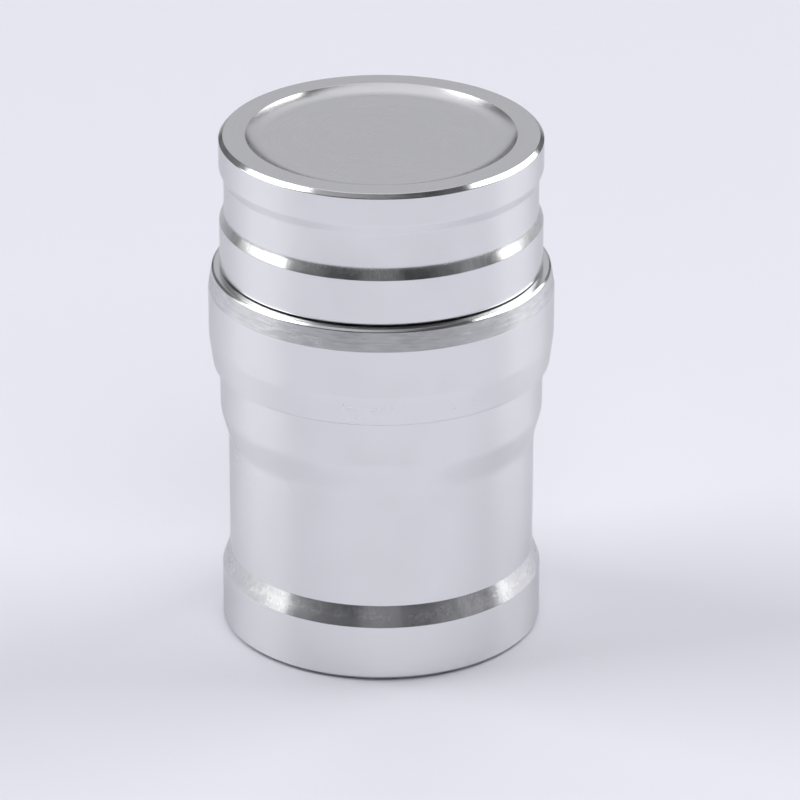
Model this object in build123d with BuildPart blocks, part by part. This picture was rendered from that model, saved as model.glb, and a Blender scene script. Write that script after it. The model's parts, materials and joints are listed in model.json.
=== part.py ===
"""Spin-lock puzzle capsule: a turned metal cylinder with no keyhole and no dials.

Eight loose steel pins lie in radial bores around the neck of the lid's plug. Spinning the capsule on
a table throws every pin outwards, clear of the plug's groove, and the lid then lifts straight off.
Tilting it lets at least one pin fall back into the groove, which locks the lid again.

Millimetres, +Z up. The origin is the centre of the foot ring's lower face, on the turning axis.
The model stands unlocked: every pin at the outer end of its bore, and the lid down on its washer.
Threads are plain cylinders, and glued or screwed joints have a hair of clearance.
"""

import os
from math import cos, radians, sin, tan

from build123d import *

# Overall size
height = 45.0
band_radius = 13.8  # the lid's two bands and the base band
middle_band_radius = 13.85
collar_radius = 14.8  # the widest place
waist_radius = 13.4  # the grip groove round the lid
barrel_radius = 13.15  # the slim part of the cup

# Levels up the outside, from the table
foot_proud = 0.15  # how far the foot ring stands below the cup
base_edge = 0.3  # edge break round the bottom of the cup
base_band_top = 5.1
barrel_bottom = 6.9
barrel_top = 17.55
middle_band_bottom = 20.1
barrel_blend = 3.0  # fillets where the barrel swells into the middle band
collar_bottom = 24.35
collar_swell = 27.0  # the collar is at its full radius from here
collar_shoulder = 31.2  # up to here, and then it leans in to the lip
collar_lip = 32.92
collar_top = 33.1
lid_bottom = 32.05  # the foot of the lid, down in the collar
lid_wall_bottom = 33.36  # leaves a shadow gap above the collar
lower_band_top = 37.3
waist_bottom = 38.23
waist_fillet = 1.0
waist_top = 41.3
upper_band_bottom = 42.2

# Collar sleeve
sleeve_foot_radius = 14.45
sleeve_lip_radius = 14.5
sleeve_top_radius = 14.3
lid_recess_radius = 13.65  # the lid's foot drops in here with 0.1 all round
sleeve_bore_radius = 13.02
sleeve_edge = 0.2

# Cup and its cavity
spigot_radius = 13.0  # the cup's neck and the pin carrier both fill the sleeve
cup_top = 26.0
cavity_radius = 11.2
cavity_floor = 2.2
foot_groove = (9.8, 12.0)  # inner and outer radius
foot_groove_depth = 0.8
foot_ring_clearance = 0.05
dish_radius = 9.0  # turned relief in the middle of the underside
dish_depth = 0.4
pad_radius = 11.0
pad_thickness = 1.0

# Pin carrier and lock pins
carrier_top = 31.6
carrier_bore_radius = 8.6
carrier_lead_in = 0.5
pin_count = 8
pin_height = 28.4
pin_radius = 1.0
pin_bore_radius = 1.06
pin_length = 4.1
pin_outer_end = 12.9  # where an unlocked pin's outer end lies
pin_end_round = 0.3

# Glide washer between the lid and the neck
washer_radii = (9.2, 13.5)
washer_top = 32.0

# Lid plug
plug_radius = 8.45
plug_tip = 25.4
plug_lead = 0.6
groove_floor_radius = 7.0
groove_levels = (27.2, 29.6)
plug_spigot_radius = 5.95
plug_spigot_top = 34.0

# Lid cap
lid_foot_radius = 13.55
lid_foot_edge = 0.3
rim_chamfer = 0.36
recess_radius = 11.55  # the shallow dish in the top
recess_depth = 0.56
recess_slope = 38  # degrees from level
recess_fillet = 2.4  # round the floor of the dish
recess_edge = 0.1
spigot_socket_radius = 6.0
spigot_socket_top = 34.05

# The M4 screw that holds the plug to the cap, and its spring washer
screw_radius = 2.0
screw_length = 10.0
screw_hole_radius = 2.25
tapped_hole_radius = 2.02
tapped_hole_top = 40.3
screw_head_radius = 3.5
screw_head_height = 4.0
screw_socket_across_flats = 3.0
screw_socket_depth = 2.0
counterbore_radius = 3.75
counterbore_top = 30.4
spring_washer_radii = (2.1, 3.5)
spring_washer_thickness = 0.9
spring_washer_slot = 0.8

# Dowels: each is (radius, distance from the turning axis, lower end, upper end)
lid_dowel_place = (0.75, 4.6, 32.75, 36.0)
carrier_dowel_place = (0.5, 12.1, 24.5, 27.5)
dowel_clearance = 0.02
dowel_end_gap = 0.1
dowel_edge = 0.12


def ring(inner, outer):
    """A flat ring in the sketch that is open."""
    Circle(outer)
    Circle(inner, mode=Mode.SUBTRACT)


def turn(*outline):
    """Spins a closed outline of (radius, height) points about the turning axis."""
    with BuildSketch(Plane.XZ) as half_section:
        with BuildLine():
            Polyline(*outline, close=True)
        make_face()
    revolve(half_section.sketch, axis=Axis.Z)


def drill_for_dowel(place):
    """Cuts a dowel's hole in the part that is open."""
    radius, offset, low, high = place
    depth = high - low + 2 * dowel_end_gap
    with Locations((offset, 0, low - dowel_end_gap)):
        Cylinder(
            radius + dowel_clearance,
            depth,
            align=(Align.CENTER, Align.CENTER, Align.MIN),
            mode=Mode.SUBTRACT,
        )


def dowel_rod(place):
    """Makes a dowel in the part that is open."""
    radius, offset, low, high = place
    with Locations((offset, 0, low)):
        Cylinder(radius, high - low, align=(Align.CENTER, Align.CENTER, Align.MIN))


# The cup: base band, slim barrel, middle band, and the spigot that the collar sleeve fits over
with BuildPart() as body_cup:
    turn(
        (0, foot_proud),
        (band_radius - base_edge, foot_proud),
        (band_radius, foot_proud + base_edge),
        (band_radius, base_band_top),
        (barrel_radius, barrel_bottom),
        (barrel_radius, barrel_top),
        (middle_band_radius, middle_band_bottom),
        (middle_band_radius, collar_bottom),
        (spigot_radius, collar_bottom),
        (spigot_radius, cup_top),
        (0, cup_top),
    )
    blends = body_cup.edges().filter_by(GeomType.CIRCLE).filter_by_position(Axis.Z, barrel_top, middle_band_bottom)
    fillet(blends, barrel_blend)
    with Locations((0, 0, cup_top)):
        Hole(cavity_radius, depth=cup_top - cavity_floor)
    with BuildSketch(Plane.XY.offset(foot_proud)):
        ring(*foot_groove)
    extrude(amount=foot_groove_depth, mode=Mode.SUBTRACT)
    with BuildSketch(Plane.XY.offset(foot_proud)):
        Circle(dish_radius)
    extrude(amount=dish_depth, mode=Mode.SUBTRACT)
    drill_for_dowel(carrier_dowel_place)
body_cup.part.label = "body_cup"

# The collar: a sleeve over the spigot and the pin carrier, which closes the pins' bores. Its top is
# counterbored for the foot of the lid.
with BuildPart() as collar_sleeve:
    turn(
        (sleeve_bore_radius, collar_bottom),
        (sleeve_foot_radius, collar_bottom),
        (collar_radius, collar_swell),
        (collar_radius, collar_shoulder),
        (sleeve_lip_radius, collar_lip),
        (sleeve_top_radius, collar_top),
        (lid_recess_radius, collar_top),
        (lid_recess_radius, carrier_top),
        (sleeve_bore_radius, carrier_top),
    )
    foot_edge = collar_sleeve.edges().filter_by(GeomType.CIRCLE).group_by(Axis.Z)[0].sort_by(SortBy.RADIUS)[-1]
    fillet(foot_edge, sleeve_edge)
collar_sleeve.part.label = "collar_sleeve"

# The pin carrier: the thick ring that the lid's plug drops through, cross-drilled for the pins
pin_angles = [360 / pin_count * (i + 0.5) for i in range(pin_count)]
with BuildPart() as pin_carrier:
    with BuildSketch(Plane.XY.offset(cup_top)):
        ring(carrier_bore_radius, spigot_radius)
    extrude(amount=carrier_top - cup_top)
    mouth = pin_carrier.edges().filter_by(GeomType.CIRCLE).group_by(Axis.Z)[-1].sort_by(SortBy.RADIUS)[0]
    chamfer(mouth, carrier_lead_in)
    for angle in pin_angles:
        outwards = (cos(radians(angle)), sin(radians(angle)), 0)
        with BuildSketch(Plane((0, 0, pin_height), z_dir=outwards)):
            Circle(pin_bore_radius)
    extrude(amount=spigot_radius + 1, mode=Mode.SUBTRACT)
    drill_for_dowel(carrier_dowel_place)
pin_carrier.part.label = "pin_carrier"

# The dowel that keys the pin carrier to the cup
with BuildPart() as carrier_dowel:
    dowel_rod(carrier_dowel_place)
    chamfer(carrier_dowel.edges().filter_by(GeomType.CIRCLE), dowel_edge)
carrier_dowel.part.label = "carrier_dowel"

# One lock pin in each bore, a steel dowel with rounded ends
lock_pins = []
for number, angle in enumerate(pin_angles, start=1):
    outwards = Vector(cos(radians(angle)), sin(radians(angle)), 0)
    inner_end = outwards * (pin_outer_end - pin_length) + Vector(0, 0, pin_height)
    with BuildPart() as lock_pin:
        with BuildSketch(Plane(inner_end, z_dir=outwards)):
            Circle(pin_radius)
        extrude(amount=pin_length)
        fillet(lock_pin.edges().filter_by(GeomType.CIRCLE), pin_end_round)
    lock_pin.part.label = f"lock_pin_{number}"
    lock_pins.append(lock_pin)

# A thin slippery washer in the collar's counterbore, which the lid turns on
with BuildPart() as glide_washer:
    with BuildSketch(Plane.XY.offset(carrier_top)):
        ring(*washer_radii)
    extrude(amount=washer_top - carrier_top)
glide_washer.part.label = "glide_washer"

# The foot ring, let into the underside, which the capsule spins on
with BuildPart() as foot_ring:
    with BuildSketch():
        ring(foot_groove[0] + foot_ring_clearance, foot_groove[1] - foot_ring_clearance)
    extrude(amount=foot_proud + foot_groove_depth)
    chamfer(foot_ring.edges().group_by(Axis.Z)[0], foot_proud / 2)
foot_ring.part.label = "foot_ring"

# A soft pad on the floor of the cavity, so that what is hidden there doesn't rattle
with BuildPart() as stash_pad:
    with BuildSketch(Plane.XY.offset(cavity_floor)):
        Circle(pad_radius)
    extrude(amount=pad_thickness)
    fillet(stash_pad.edges().group_by(Axis.Z)[-1], pad_thickness / 4)
stash_pad.part.label = "stash_pad"

# The lid's plug: a spool whose groove the pins drop into, with a spigot that centres it in the cap
with BuildPart() as lid_plug:
    turn(
        (0, plug_tip),
        (plug_radius - plug_lead, plug_tip),
        (plug_radius, plug_tip + plug_lead),
        (plug_radius, groove_levels[0]),
        (groove_floor_radius, groove_levels[0]),
        (groove_floor_radius, groove_levels[1]),
        (plug_radius, groove_levels[1]),
        (plug_radius, lid_bottom),
        (plug_spigot_radius, lid_bottom),
        (plug_spigot_radius, plug_spigot_top),
        (0, plug_spigot_top),
    )
    with Locations(Plane((0, 0, plug_tip), z_dir=(0, 0, -1))):
        CounterBoreHole(screw_hole_radius, counterbore_radius, counterbore_top - plug_tip)
    drill_for_dowel(lid_dowel_place)
lid_plug.part.label = "lid_plug"

# The lid cap: two bands either side of a grip groove, a flat rim and a shallow dish in the top
recess_floor_corner = recess_radius - recess_depth / tan(radians(recess_slope))
with BuildPart() as lid_cap:
    turn(
        (0, lid_bottom),
        (lid_foot_radius - lid_foot_edge, lid_bottom),
        (lid_foot_radius, lid_bottom + lid_foot_edge),
        (lid_foot_radius, collar_top),
        (band_radius, lid_wall_bottom),
        (band_radius, lower_band_top),
        (waist_radius, waist_bottom),
        (waist_radius, waist_top),
        (band_radius, upper_band_bottom),
        (band_radius, height - rim_chamfer),
        (band_radius - rim_chamfer, height),
        (recess_radius, height),
        (recess_floor_corner, height - recess_depth),
        (0, height - recess_depth),
    )
    circles = lid_cap.edges().filter_by(GeomType.CIRCLE)
    fillet(circles.group_by(Axis.Z)[-1].sort_by(SortBy.RADIUS)[0], recess_edge)
    fillet(circles.filter_by_position(Axis.Z, height - recess_depth, height - recess_depth), recess_fillet)
    fillet(circles.filter_by_position(Axis.Z, waist_bottom, waist_bottom), waist_fillet)
    with BuildSketch(Plane.XY.offset(lid_bottom)):
        Circle(spigot_socket_radius)
    extrude(amount=spigot_socket_top - lid_bottom, mode=Mode.SUBTRACT)
    with BuildSketch(Plane.XY.offset(spigot_socket_top)):
        Circle(tapped_hole_radius)
    extrude(amount=tapped_hole_top - spigot_socket_top, mode=Mode.SUBTRACT)
    drill_for_dowel(lid_dowel_place)
lid_cap.part.label = "lid_cap"

# The socket-head screw that pulls the plug up into the cap, driven from the plug's tip
screw_seat = counterbore_top - spring_washer_thickness
with BuildPart() as lid_screw:
    with BuildSketch(Plane.XY.offset(screw_seat)):
        Circle(screw_radius)
    extrude(amount=screw_length)
    with BuildSketch(Plane.XY.offset(screw_seat)):
        Circle(screw_head_radius)
    extrude(amount=-screw_head_height)
    chamfer(lid_screw.edges().group_by(Axis.Z)[-1], screw_radius / 6)
    chamfer(lid_screw.edges().group_by(Axis.Z)[0], screw_head_radius / 12)
    with BuildSketch(Plane.XY.offset(screw_seat - screw_head_height)):
        RegularPolygon(screw_socket_across_flats / 2, 6, major_radius=False)
    extrude(amount=screw_socket_depth, mode=Mode.SUBTRACT)
lid_screw.part.label = "lid_screw"

# A split spring washer under the screw's head, which keeps the spin from loosening it
with BuildPart() as spring_washer:
    with BuildSketch(Plane.XY.offset(screw_seat)):
        ring(*spring_washer_radii)
        with Locations((-spring_washer_radii[1], 0)):
            Rectangle(2 * spring_washer_radii[1], spring_washer_slot, mode=Mode.SUBTRACT)
    extrude(amount=spring_washer_thickness)
spring_washer.part.label = "spring_washer"

# The dowel that keeps the plug from turning in the cap
with BuildPart() as lid_dowel:
    dowel_rod(lid_dowel_place)
    chamfer(lid_dowel.edges().filter_by(GeomType.CIRCLE), dowel_edge)
lid_dowel.part.label = "lid_dowel"

os.makedirs("parts", exist_ok=True)
pieces = [
    body_cup,
    collar_sleeve,
    pin_carrier,
    carrier_dowel,
    *lock_pins,
    glide_washer,
    foot_ring,
    stash_pad,
    lid_plug,
    lid_cap,
    lid_screw,
    spring_washer,
    lid_dowel,
]
for piece in pieces:
    export_step(piece.part, f"parts/{piece.part.label}.step")
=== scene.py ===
"""Looks for the spin-lock puzzle capsule: lathe-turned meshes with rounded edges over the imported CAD.

Every turned piece takes its half-section from its own CAD node, so its size and place are the CAD's.
"""

import json
from collections import Counter
from math import ceil, cos, hypot, pi, radians, sin, tan

import bmesh
import bpy
from mathutils import Matrix, Vector


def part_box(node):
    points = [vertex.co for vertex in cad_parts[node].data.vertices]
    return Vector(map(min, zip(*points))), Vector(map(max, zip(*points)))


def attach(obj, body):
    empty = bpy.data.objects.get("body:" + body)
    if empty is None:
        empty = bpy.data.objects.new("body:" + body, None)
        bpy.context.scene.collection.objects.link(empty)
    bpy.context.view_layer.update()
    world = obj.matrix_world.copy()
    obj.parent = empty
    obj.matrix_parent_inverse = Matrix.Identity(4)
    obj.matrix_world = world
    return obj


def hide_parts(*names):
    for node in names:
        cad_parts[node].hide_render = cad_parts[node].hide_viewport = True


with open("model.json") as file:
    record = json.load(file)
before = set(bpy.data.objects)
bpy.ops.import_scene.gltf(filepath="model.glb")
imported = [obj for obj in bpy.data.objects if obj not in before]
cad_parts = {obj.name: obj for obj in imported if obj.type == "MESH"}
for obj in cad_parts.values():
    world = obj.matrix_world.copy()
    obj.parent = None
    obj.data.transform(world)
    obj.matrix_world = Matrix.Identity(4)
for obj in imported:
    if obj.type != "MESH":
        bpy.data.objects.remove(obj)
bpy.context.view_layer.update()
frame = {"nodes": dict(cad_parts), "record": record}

MM = 0.001
MICRON = 1e-6


def in_scene(name, data):
    """A new object with the given mesh, light or camera, linked to the scene."""
    made = bpy.data.objects.new(name, data)
    bpy.context.scene.collection.objects.link(made)
    return made


# ---------------------------------------------------------------- outlines of the turned pieces

AROUND = 256  # facets round a turned piece
FULL_CIRCLE = 24  # a CAD corner with this many copies or more runs right round the axis
SMOOTH_TURN = radians(18)  # the steps along a curve turn less than this,
CURVE_STEP = 0.5 * MM  # and are shorter than this
STRAIGHT_ON = radians(1)  # a turn smaller than this is no corner

EDGE_BREAK = 0.05 * MM  # radius of a turned edge
SHORTEST_ROUND = 0.05 * MM  # how far a rounding reaches along each side of a corner, at least,
LONGEST_ROUND = 0.4  # and at most, as a share of the shorter side
ROUND_STEP = radians(12)  # a rounding's facets turn by no more than this,
FEWEST_STEPS = 3  # and there are at least this many
ON_ROUND, ROUND_ENDS = 1, 0.4  # the "edge" values along a rounding and where it meets its sides


def half_section(node):
    """The outline of a CAD node that is turned about Z: its (radius, height) corners, in order."""
    mesh = frame["nodes"][node].data
    corner_of = [
        (round(hypot(v.co.x, v.co.y) / MICRON), round(v.co.z / MICRON)) for v in mesh.vertices
    ]
    count = Counter(corner_of)
    full_circles = {corner for corner in count if count[corner] >= FULL_CIRCLE}
    neighbours = {corner: set() for corner in full_circles}
    for edge in mesh.edges:
        a, b = (corner_of[i] for i in edge.vertices)
        if a != b and a in full_circles and b in full_circles:
            neighbours[a].add(b)
            neighbours[b].add(a)
    ends = sorted(corner for corner in full_circles if len(neighbours[corner]) == 1)
    here = ends[0] if ends else min(full_circles)
    walk = [here]
    while True:
        ahead = neighbours[here] - set(walk)
        if not ahead:
            break
        here = min(ahead, key=lambda corner: hypot(corner[0] - here[0], corner[1] - here[1]))
        walk.append(here)
    if len(walk) != len(full_circles):
        raise ValueError(f"{node} isn't a plain turned piece")
    outline = [Vector((r * MICRON, z * MICRON)) for r, z in walk]
    if ends:
        outline = [Vector((0, outline[0].y)), *outline, Vector((0, outline[-1].y))]
    return anticlockwise(outline)


def anticlockwise(outline):
    """The same outline, ordered so that its left side is solid."""
    area = sum(a.x * b.y - b.x * a.y for a, b in zip(outline, outline[1:] + outline[:1]))
    return outline if area > 0 else outline[::-1]


def outward(along):
    """The unit normal on the right of a direction, which is outside an anticlockwise outline."""
    return Vector((along.y, -along.x)).normalized()


def rounded(outline, edge_break):
    """The outline with each corner rounded, as (point, outward normal, edge value)."""
    points = []
    for i, corner in enumerate(outline):
        before, after = outline[i - 1], outline[(i + 1) % len(outline)]
        way_in, way_out = corner - before, after - corner
        if corner.x == 0:
            along = way_out if before.x == 0 else way_in
            points.append((corner, outward(along), 0))
            continue
        signed_turn = way_in.angle_signed(way_out)
        turn = abs(signed_turn)
        short = [way for way in (way_in, way_out) if way.length < CURVE_STEP]
        if turn < STRAIGHT_ON or turn < SMOOTH_TURN and short:
            straight = [way for way in (way_in, way_out) if way.length >= CURVE_STEP]
            normal = sum((outward(way) for way in straight or short), Vector((0, 0))).normalized()
            points.append((corner, normal, 0))
            continue
        longest = LONGEST_ROUND * min(way_in.length, way_out.length)
        reach = min(max(edge_break * tan(turn / 2), SHORTEST_ROUND), longest)
        radius = reach / tan(turn / 2)
        side = 1 if signed_turn < 0 else -1
        centre = corner - way_in.normalized() * reach - outward(way_in) * radius * side
        steps = max(FEWEST_STEPS, ceil(turn / ROUND_STEP))
        for step in range(steps + 1):
            normal = outward(way_in)
            normal.rotate(Matrix.Rotation(turn * side * step / steps, 2))
            edge = ON_ROUND if 0 < step < steps else ROUND_ENDS
            points.append((centre + normal * radius * side, normal, edge))
    return points


def lathe(name, outline, edge_break=EDGE_BREAK, around=AROUND):
    """Spins an outline about Z into a closed mesh with exact normals. Its materials can read "edge", which
    marks the roundings, and "slope", the upward part of the normal: 0 on a wall and 1 on a level top."""
    vertices, normals, edges, slopes, rings = [], [], [], [], []
    for point, normal, edge in rounded(outline, edge_break):
        on_axis = point.x < MICRON
        turns = 1 if on_axis else around
        rings.append(range(len(vertices), len(vertices) + turns))
        for step in range(turns):
            a = 2 * pi * step / around
            vertices.append((point.x * cos(a), point.x * sin(a), point.y))
            normals.append((0, 0, normal.y) if on_axis else (normal.x * cos(a), normal.x * sin(a), normal.y))
            edges.append(edge)
            slopes.append(normal.y)
    faces = []
    for i, ring in enumerate(rings):
        above = rings[(i + 1) % len(rings)]
        if len(ring) == 1 and len(above) == 1:
            continue
        for step in range(around):
            after = (step + 1) % around
            if len(ring) == 1:
                faces.append((ring[0], above[after], above[step]))
            elif len(above) == 1:
                faces.append((ring[step], ring[after], above[0]))
            else:
                faces.append((ring[step], ring[after], above[after], above[step]))
    return shaded(name, vertices, faces, normals, {"edge": edges, "slope": slopes})


def shaded(name, vertices, faces, normals, attributes):
    """A smooth mesh object with given vertex normals and per-vertex values for its material."""
    mesh = bpy.data.meshes.new(name)
    mesh.from_pydata(vertices, [], faces)
    mesh.polygons.foreach_set("use_smooth", [True] * len(faces))
    for key, values in attributes.items():
        mesh.attributes.new(key, "FLOAT", "POINT").data.foreach_set("value", values)
    mesh.normals_split_custom_set_from_vertices(normals)
    return in_scene(name, mesh)


# ---------------------------------------------------------------- node trees

NOISE_SPAN = (0.3, 0.7)  # most of a noise's values lie between these,
NOISE_CORE = (0.35, 0.65)  # and those that a strong contrast keeps apart between these
LEVEL_PITCH = 1.7  # how much closer together tool marks are on a level face than on a wall


class Nodes:
    """A few short ways to write a node tree."""

    def __init__(self, tree):
        self.tree = tree

    def node(self, kind, inputs=(), **settings):
        node = self.tree.nodes.new(kind)
        for key, value in settings.items():
            setattr(node, key, value)
        for key, value in dict(inputs).items():
            self.feed(node.inputs[key], value)
        return node

    def feed(self, socket, value):
        """Links a socket to an output, or sets it to a value."""
        if isinstance(value, bpy.types.NodeSocket):
            self.tree.links.new(value, socket)
        else:
            socket.default_value = value

    def math(self, operation, a, b=0.0):
        return self.node("ShaderNodeMath", {0: a, 1: b}, operation=operation).outputs[0]

    def product(self, a, b):
        return self.math("MULTIPLY", a, b)

    def total(self, a, b):
        return self.math("ADD", a, b)

    def between(self, value, low, high, to_low=0.0, to_high=1.0, **settings):
        """Runs from one output value to the other as the input runs from low to high."""
        inputs = {"Value": value, "From Min": low, "From Max": high, "To Min": to_low, "To Max": to_high}
        return self.node("ShaderNodeMapRange", inputs, **settings).outputs["Result"]


class Shader(Nodes):
    """A material, with its Principled surface."""

    def __init__(self, name):
        self.material = bpy.data.materials.new(name)
        self.material.use_nodes = True
        super().__init__(self.material.node_tree)
        self.surface = self.tree.nodes["Principled BSDF"]

    def set(self, **inputs):
        for key, value in inputs.items():
            self.feed(self.surface.inputs[key.replace("_", " ")], value)

    def noise(self, vector, scale, detail=2.0, roughness=0.5):
        inputs = {"Vector": vector, "Scale": scale, "Detail": detail, "Roughness": roughness}
        return self.node("ShaderNodeTexNoise", inputs).outputs["Fac"]

    def mix(self, amount, a, b):
        inputs = {"Factor": amount, 6: a, 7: b}
        return self.node("ShaderNodeMix", inputs, data_type="RGBA").outputs[2]

    def bump(self, height, distance):
        inputs = {"Height": height, "Distance": distance, "Strength": 1.0}
        self.set(Normal=self.node("ShaderNodeBump", inputs).outputs["Normal"])

    def object_point(self):
        return self.node("ShaderNodeTexCoord").outputs["Object"]

    def attribute(self, name):
        return self.node("ShaderNodeAttribute", attribute_name=name).outputs["Fac"]

    def lathe_point(self, stretch):
        """A point for tool marks. It runs quickly across them, in millimetres, and slowly along them,
        by STRETCH in a radian."""
        x, y, z = self.node("ShaderNodeSeparateXYZ", {0: self.object_point()}).outputs
        radius = self.math("SQRT", self.total(self.product(x, x), self.product(y, y)))
        safe = self.math("MAXIMUM", radius, MICRON)
        across = self.product(self.total(z, self.product(radius, LEVEL_PITCH)), 1 / MM)
        around_x = self.product(self.math("DIVIDE", x, safe), stretch)
        around_y = self.product(self.math("DIVIDE", y, safe), stretch)
        return self.node("ShaderNodeCombineXYZ", {0: around_x, 1: around_y, 2: across}).outputs[0]


# ---------------------------------------------------------------- materials

BAND_BEGINS = (0.12, 0.17)  # the brushed bands fade in over these slopes,
BAND_STOPS = (0.5, 0.7)  # and out over these
MARKS_TO_SPECKLE = (0.2, 0.3)  # steeper bands have long marks and flatter ones a short speckle
BAND_DARKENING = 0.8  # colour of a brushed band's darkest grain, as a share of the plain colour
MARK_DARKENING = 0.97  # and of a tool mark
BAND_ROUGHENING = 0.03
BURNISHING = 0.7  # roughness of an edge, as a share of the face's
WAVE_HEIGHT = 1.2  # of the slow waves, as a share of the tool marks'
QUARTER_TURN = 0.25  # it stretches the highlights across the tool marks


def shade(colour, share=1.0):
    """A colour socket's value: a share of a colour."""
    return [min(1, c * share) for c in colour] + [1]


def turned_metal(name, colour, roughness, mark_depth, anisotropic, edge_tint=1.0, marks_per_mm=6.0):
    """Metal off the lathe: fine tool marks, a coarser brushed grain on the bands that slope upwards,
    a little haze from handling, and burnished edges."""
    shader = Shader(name)
    marks = shader.noise(shader.lathe_point(stretch=1.5), marks_per_mm, roughness=0.65)
    waves = shader.noise(shader.lathe_point(stretch=0.8), scale=1.6, detail=1.0)
    speckle = shader.noise(shader.lathe_point(stretch=14.0), scale=5.0, roughness=0.7)
    haze = shader.noise(shader.object_point(), scale=160.0, detail=4.0, roughness=0.6)

    slope = shader.attribute("slope")
    band = shader.product(
        shader.between(slope, *BAND_BEGINS), shader.between(slope, *BAND_STOPS, to_low=1.0, to_high=0.0)
    )
    steep = shader.between(slope, *MARKS_TO_SPECKLE, to_low=1.0, to_high=0.0)
    grain = shader.total(speckle, shader.product(steep, shader.math("SUBTRACT", marks, speckle)))
    marked = shader.between(marks, *NOISE_CORE)
    grained = shader.between(grain, *NOISE_CORE)
    plain = shader.mix(marked, shade(colour, MARK_DARKENING), shade(colour))
    brushed = shader.mix(grained, shade(colour, BAND_DARKENING), shade(colour))

    hazy = shader.between(haze, *NOISE_SPAN, to_low=roughness * 0.85, to_high=roughness * 1.2)
    streaked = shader.total(hazy, shader.between(marks, *NOISE_SPAN, to_low=-0.02, to_high=0.03))
    coarse = shader.total(streaked, shader.product(band, BAND_ROUGHENING))
    burnished = shader.between(shader.attribute("edge"), 0, ON_ROUND, to_low=1.0, to_high=BURNISHING)
    shader.set(
        Base_Color=shader.mix(band, plain, brushed),
        Metallic=1.0,
        Roughness=shader.product(coarse, burnished),
        Specular_Tint=shade([edge_tint] * 3),
        Anisotropic=anisotropic,
        Anisotropic_Rotation=QUARTER_TURN,
        Tangent=shader.node("ShaderNodeTangent", direction_type="RADIAL", axis="Z").outputs[0],
    )
    wavy_marks = shader.total(marks, shader.product(waves, WAVE_HEIGHT))
    shader.bump(shader.total(wavy_marks, shader.product(grain, band)), mark_depth)
    return shader.material


def ground_metal(name, colour, roughness):
    """Small ground or plated steel parts: isotropic, with fine pits and scratches."""
    shader = Shader(name)
    point = shader.object_point()
    pits = shader.noise(point, scale=9000.0, detail=4.0, roughness=0.7)
    haze = shader.noise(point, scale=700.0, detail=3.0)
    shader.set(
        Base_Color=shader.mix(haze, shade(colour, 0.9), shade(colour)),
        Metallic=1.0,
        Roughness=shader.between(haze, *NOISE_SPAN, to_low=roughness * 0.8, to_high=roughness * 1.3),
    )
    shader.bump(pits, 1.2 * MICRON)
    return shader.material


def plastic(name, colour, roughness, mark_depth):
    """Machined plastic with faint tool marks."""
    shader = Shader(name)
    marks = shader.noise(shader.lathe_point(stretch=2.0), scale=7.0)
    haze = shader.noise(shader.object_point(), scale=300.0, detail=4.0)
    shader.set(
        Base_Color=shader.mix(haze, shade(colour, 0.88), shade(colour)),
        Roughness=shader.between(marks, *NOISE_SPAN, to_low=roughness * 0.85, to_high=roughness * 1.15),
        Specular_IOR_Level=0.4,
    )
    shader.bump(marks, mark_depth)
    return shader.material


def felt_cloth(name, colour):
    """Pressed felt: matted fibres and a soft sheen."""
    shader = Shader(name)
    point = shader.object_point()
    fibres = shader.noise(point, scale=5200.0, detail=6.0, roughness=0.75)
    clumps = shader.noise(point, scale=900.0, detail=3.0)
    shader.set(
        Base_Color=shader.mix(fibres, shade(colour, 0.55), shade(colour, 1.6)),
        Roughness=shader.between(clumps, *NOISE_SPAN, to_low=0.85, to_high=1.0),
        Sheen_Weight=0.5,
        Sheen_Roughness=0.5,
    )
    shader.bump(shader.total(fibres, clumps), 60 * MICRON)
    return shader.material


def slot_colour(slot):
    """The base colour that the record gives for a slot."""
    return next(m["base_color"][:3] for m in frame["record"]["materials"] if m["slot"] == slot)


ALUMINIUM = slot_colour("turned_aluminium")
ALUMINIUM_EDGE_TINT = 0.75  # bare aluminium mirrors less near grazing angles than a plain metal shader

aluminium = turned_metal(
    "turned_aluminium",
    ALUMINIUM,
    roughness=0.22,
    mark_depth=1.0 * MICRON,
    anisotropic=0.8,
    edge_tint=ALUMINIUM_EDGE_TINT,
)
faced_aluminium = turned_metal(
    "faced_aluminium",
    ALUMINIUM,
    roughness=0.24,
    mark_depth=0.25 * MICRON,
    anisotropic=0.0,
    edge_tint=ALUMINIUM_EDGE_TINT,
    marks_per_mm=2.5,
)
brass = turned_metal(
    "turned_brass", slot_colour("brass"), roughness=0.22, mark_depth=2.5 * MICRON, anisotropic=0.4
)
plug_steel = turned_metal(
    "turned_steel", slot_colour("plug_steel"), roughness=0.2, mark_depth=2.0 * MICRON, anisotropic=0.4
)
ground_steel = ground_metal("ground_steel", slot_colour("ground_steel"), roughness=0.16)
spring_steel = ground_metal("plated_steel", slot_colour("spring_steel"), roughness=0.4)
black_steel = ground_metal("black_steel", slot_colour("black_steel"), roughness=0.38)
glide_plastic = plastic(
    "glide_plastic", slot_colour("glide_plastic"), roughness=0.45, mark_depth=1.5 * MICRON
)
foot_plastic = plastic("foot_plastic", slot_colour("foot_plastic"), roughness=0.4, mark_depth=2.0 * MICRON)
felt = felt_cloth("pressed_felt", slot_colour("felt"))


# ---------------------------------------------------------------- pieces

LEVEL = cos(radians(8))  # a face within 8 degrees of level counts as faced off
PIN_END_ROUND = 0.3 * MM
PIN_AROUND = 64
FLAT = radians(0.5)  # CAD facets that meet at less than this are one face
SHARP = radians(35)  # and edges that turn by more than this are bevelled


def finish_piece(piece, node, material):
    """Gives a piece its material and the body of the CAD node that it stands for, and hides that node."""
    piece.data.materials.append(material)
    body = next(b for b, nodes in frame["record"]["behaviour"]["bodies"].items() if node in nodes)
    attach(piece, body)
    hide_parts(node)
    return piece


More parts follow.
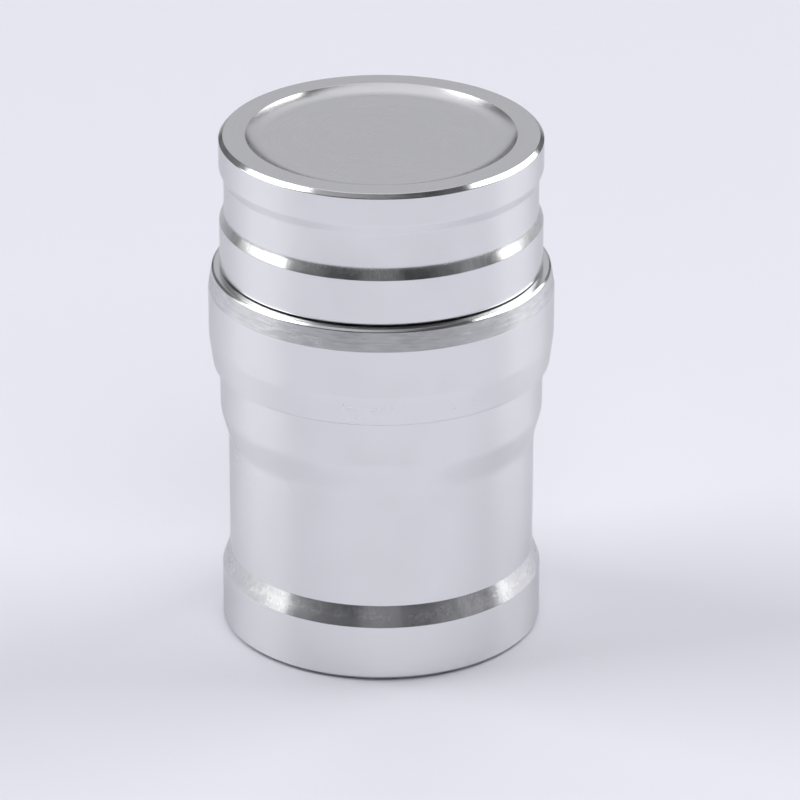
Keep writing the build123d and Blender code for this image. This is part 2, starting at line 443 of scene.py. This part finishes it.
def turned_piece(node, name, material, edge_break=EDGE_BREAK, faced=None):
    """A turned piece, with a second material on its level faces if they were faced off."""
    piece = finish_piece(lathe(name, half_section(node), edge_break), node, material)
    if faced:
        piece.data.materials.append(faced)
        for face in piece.data.polygons:
            if abs(face.normal.z) > LEVEL:
                face.material_index = 1


def lock_pin(node, name):
    """A ground dowel that lies along a radius, with well rounded ends."""
    low, high = (Vector(corner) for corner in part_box(node))
    outwards = Vector(((low + high).x, (low + high).y, 0)).normalized()
    reach = [corner.co.dot(outwards) for corner in frame["nodes"][node].data.vertices]
    radius, height = (high.z - low.z) / 2, (high.z + low.z) / 2
    near, far = min(reach), max(reach)
    outline = [Vector(p) for p in ((0, near), (radius, near), (radius, far), (0, far))]
    pin = lathe(name, outline, PIN_END_ROUND, PIN_AROUND)
    pin.data.transform(
        Matrix.Translation((0, 0, height)) @ outwards.to_track_quat("Z", "Y").to_matrix().to_4x4()
    )
    finish_piece(pin, node, ground_steel)


def softened(node, name, material, edge_break):
    """A copy of a CAD node with its sharp edges broken, for shapes that aren't plain turned ones."""
    mesh = frame["nodes"][node].data.copy()
    mesh.name = name
    mesh.materials.clear()
    work = bmesh.new()
    work.from_mesh(mesh)
    bmesh.ops.remove_doubles(work, verts=work.verts, dist=MICRON)
    bmesh.ops.dissolve_limit(work, angle_limit=FLAT, verts=work.verts, edges=work.edges)
    for face in work.faces:
        face.smooth = True
    work.to_mesh(mesh)
    work.free()
    piece = in_scene(name, mesh)
    bevel = piece.modifiers.new("edge_break", "BEVEL")
    bevel.width = edge_break
    bevel.segments = 3
    bevel.limit_method = "ANGLE"
    bevel.angle_limit = SHARP
    bevel.harden_normals = True
    finish_piece(piece, node, material)


turned_piece("body_cup", "cup_shell", aluminium, faced=faced_aluminium)
turned_piece("collar_sleeve", "collar_shell", aluminium, faced=faced_aluminium)
turned_piece("lid_cap", "lid_shell", aluminium, faced=faced_aluminium)
turned_piece("foot_ring", "spin_foot", foot_plastic)
turned_piece("glide_washer", "glide_ring", glide_plastic)
turned_piece("stash_pad", "felt_pad", felt, edge_break=0.15 * MM)
turned_piece("lid_plug", "plug_spool", plug_steel, edge_break=0.08 * MM)

for node in [node for node in frame["nodes"] if node.startswith("lock_pin_")]:
    lock_pin(node, node.replace("lock_pin", "loose_pin"))

softened("pin_carrier", "carrier_ring", brass, edge_break=0.06 * MM)
softened("lid_screw", "socket_screw", black_steel, edge_break=0.12 * MM)

# These are never in view, so the CAD's own meshes stay, in new materials
CARRIED_OVER = {
    "spring_washer": spring_steel,
    "lid_dowel": ground_steel,
    "carrier_dowel": ground_steel,
}
for node, material in CARRIED_OVER.items():
    mesh = frame["nodes"][node].data
    for i in range(len(mesh.materials)):
        mesh.materials[i] = material


# ---------------------------------------------------------------- floor and backdrop

FLOOR_SIZE = 1.5  # half the side of the table
# painted shade: the floor's darker grey further from the object, where the light falls off
FAR_FLOOR_SHADE = (0.56, 0.56, 0.59)
WHITE_PAPER = (0.78, 0.78, 0.845)
LIT_POOL_RADIUS = 0.17  # the pale floor fades into painted shade, a darker grey, from here
LIT_POOL_FADE = 1.35  # to this many times as far
BACKDROP_RADIUS = 1.45
BACKDROP_HEIGHT = 1.5
BACKDROP_GREY = (0.6, 0.6, 0.64)
BACKDROP_SIDES = 96


def from_bmesh(name, work):
    """An object from a finished bmesh, which is freed."""
    data = bpy.data.meshes.new(name)
    work.to_mesh(data)
    work.free()
    return in_scene(name, data)


def paper_floor():
    """A pale floor round the object that fades into a darker grey further off, as painted shade where the
    light falls off, with a little tooth and a faint sheen.
    """
    grid = bmesh.new()
    bmesh.ops.create_grid(grid, x_segments=1, y_segments=1, size=FLOOR_SIZE)
    floor = from_bmesh("floor", grid)
    shader = Shader("floor_paper")
    point = shader.object_point()
    out = shader.node("ShaderNodeVectorMath", {0: point}, operation="LENGTH").outputs["Value"]
    # painted shade: the floor turns darker grey with distance from the object
    painted_falloff = shader.between(out, LIT_POOL_RADIUS, LIT_POOL_RADIUS * LIT_POOL_FADE)
    tooth = shader.noise(point, scale=900.0)
    shader.set(
        Base_Color=shader.mix(painted_falloff, shade(WHITE_PAPER), shade(FAR_FLOOR_SHADE)),
        Roughness=shader.between(tooth, *NOISE_SPAN, to_low=0.5, to_high=0.6),
        Specular_IOR_Level=0.3,
    )
    floor.data.materials.append(shader.material)
    return floor


def pale_backdrop():
    """A wall right round the studio for low views. It lights nothing, and the metal doesn't mirror it."""
    ring = bmesh.new()
    bmesh.ops.create_circle(ring, segments=BACKDROP_SIDES, radius=BACKDROP_RADIUS)
    raised = bmesh.ops.extrude_edge_only(ring, edges=ring.edges)["geom"]
    tops = [item for item in raised if isinstance(item, bmesh.types.BMVert)]
    bmesh.ops.translate(ring, verts=tops, vec=(0, 0, BACKDROP_HEIGHT))
    wall = from_bmesh("backdrop", ring)
    shader = Shader("backdrop_paint")
    shader.set(
        Base_Color=(0, 0, 0, 1), Roughness=1.0, Emission_Color=shade(BACKDROP_GREY), Emission_Strength=1.0
    )
    wall.data.materials.append(shader.material)
    wall.visible_diffuse = wall.visible_glossy = wall.visible_transmission = wall.visible_shadow = False
    return wall


paper_floor()
pale_backdrop()


# ---------------------------------------------------------------- light
#
# Bearings and elevations are in degrees and seen from the object, with bearing 0 towards the camera and
# 90 to the camera's right. Brightnesses are radiances: a white matt face in even light of 1 shows as 1.

LAMP_DISTANCE = 1.25
ROOM_DARK = 0.035
ROOM_BACK = 0.575
ROOM_CEILING = 0.8
ROOM_BLUE = 1.05  # blue light in the room, as a share of red and green

BACK_BEARINGS = (138, 158)  # the pale back of the room fades in over these bearings on either side,
BACK_FOOT = (0, 16)  # from the horizon up over these elevations,
BACK_RISE = (26, 75)  # and brightens to the ceiling's level over these
CEILING_WAY = (-0.15, 0.2, 0.97)  # the ceiling is a pale patch about this direction,
CEILING_EDGE = (0.82, 0.9)  # and fades in over these cosines of the angle from it

# Each pale patch of wall is (bearing, half width, elevation where it ends, extra light)
ROOM_PATCHES = (
    (0, 14, 45, 0.14),
    (-52, 12, 60, 0.08),
    (52, 12, 50, 0.08),
    (68, 9, 56, 0.18),
    (-130, 11, 40, 0.12),
)
PATCH_SIDES = (0.6, 1.4)  # a patch fades out over these shares of its half width,
PATCH_TOP = (0.7, 1.3)  # and over these shares of its top elevation


def lamp(name, place, towards, width, depth, radiance, colour=(1, 1, 1)):
    """An area light of a given brightness."""
    light = bpy.data.lights.new(name, "AREA")
    light.shape = "RECTANGLE"
    light.size, light.size_y = width, depth
    light.energy = radiance * pi * width * depth
    light.color = colour
    made = in_scene(name, light)
    made.location = place
    made.rotation_euler = (Vector(towards) - Vector(place)).to_track_quat("-Z", "Y").to_euler()
    return made


def upright_softbox(name, bearing, half_width, low, high, radiance, lean=0):
    """A standing panel that faces the object, between two elevations. A lean turns it in its own plane,
    which tips its top towards a smaller bearing."""
    base, top = (LAMP_DISTANCE * tan(radians(a)) for a in (low, high))
    x, y = LAMP_DISTANCE * sin(radians(bearing)), -LAMP_DISTANCE * cos(radians(bearing))
    middle = (base + top) / 2
    width = 2 * LAMP_DISTANCE * tan(radians(half_width))
    panel = lamp(name, (x, y, middle), (0, 0, middle), width, top - base, radiance)
    panel.rotation_euler.rotate(Matrix.Rotation(radians(lean), 3, Vector((x, y, 0))))


def studio_room():
    """What lies beyond the lamps: dark in front and low down, paler overhead and behind."""
    world = bpy.data.worlds.new("studio")
    world.use_nodes = True
    room = Nodes(world.node_tree)
    total, product = room.total, room.product

    def fade(value, low, high):
        return room.between(value, low, high, interpolation_type="SMOOTHSTEP")

    def above(low, high):
        return fade(z, sin(radians(low)), sin(radians(high)))

    def inverse(value):
        return room.math("SUBTRACT", 1.0, value)

    way = room.node("ShaderNodeTexCoord").outputs["Generated"]
    x, y, z = room.node("ShaderNodeSeparateXYZ", {0: way}).outputs
    bearing = room.math("ARCTAN2", x, product(y, -1.0))

    behind = fade(room.math("ABSOLUTE", bearing), *(radians(side) for side in BACK_BEARINGS))
    rise = product(above(*BACK_RISE), ROOM_CEILING - ROOM_BACK)
    back = product(product(behind, above(*BACK_FOOT)), total(rise, ROOM_BACK - ROOM_DARK))
    ahead = room.node("ShaderNodeVectorMath", {0: way, 1: CEILING_WAY}, operation="DOT_PRODUCT")
    ceiling = product(fade(ahead.outputs["Value"], *CEILING_EDGE), ROOM_CEILING)
    level = room.math("MAXIMUM", total(ROOM_DARK, back), ceiling)
    for middle, half_width, top, extra in ROOM_PATCHES:
        off = room.math("ABSOLUTE", room.math("SUBTRACT", bearing, radians(middle)))
        near = inverse(fade(off, *(radians(half_width * share) for share in PATCH_SIDES)))
        under = inverse(above(*(top * share for share in PATCH_TOP)))
        level = total(level, product(product(near, under), extra))
    colour = room.node("ShaderNodeCombineXYZ", {0: level, 1: level, 2: product(level, ROOM_BLUE)})
    room.feed(room.tree.nodes["Background"].inputs["Color"], colour.outputs[0])
    bpy.context.scene.world = world


upright_softbox("left_light", bearing=-93.5, half_width=22.5, low=11, high=60, radiance=3.2)
upright_softbox("right_light", bearing=112, half_width=23.5, low=8, high=56, radiance=3.0, lean=8)
front = lamp(
    "front_light",
    place=(0.2, -0.75, 1.0),
    towards=(0, 0, 0),
    width=0.9,
    depth=0.8,
    radiance=2.25,
    colour=(0.97, 0.97, 1.0),
)
front.visible_glossy = False  # it lights the paper, and the metal mirrors the dark room there
studio_room()


# ---------------------------------------------------------------- camera

CAMERA_PLACE = (0.00161, -0.4775, 0.2374)
CAMERA_PITCH = radians(65.54)  # up from straight down
CAMERA_ROLL = radians(0.08)
SENSOR_WIDTH, FOCAL_LENGTH = 36, 273.8  # in millimetres
NEAREST_VIEW = 0.01

camera_data = bpy.data.cameras.new("camera")
camera_data.sensor_width = SENSOR_WIDTH
camera_data.lens = FOCAL_LENGTH
camera_data.clip_start = NEAREST_VIEW
camera = in_scene("camera", camera_data)
camera.location = CAMERA_PLACE
tilt = Matrix.Rotation(CAMERA_PITCH, 3, "X") @ Matrix.Rotation(CAMERA_ROLL, 3, "Z")
camera.rotation_euler = tilt.to_euler()
bpy.context.scene.camera = camera
bpy.context.scene.view_settings.view_transform = "Standard"
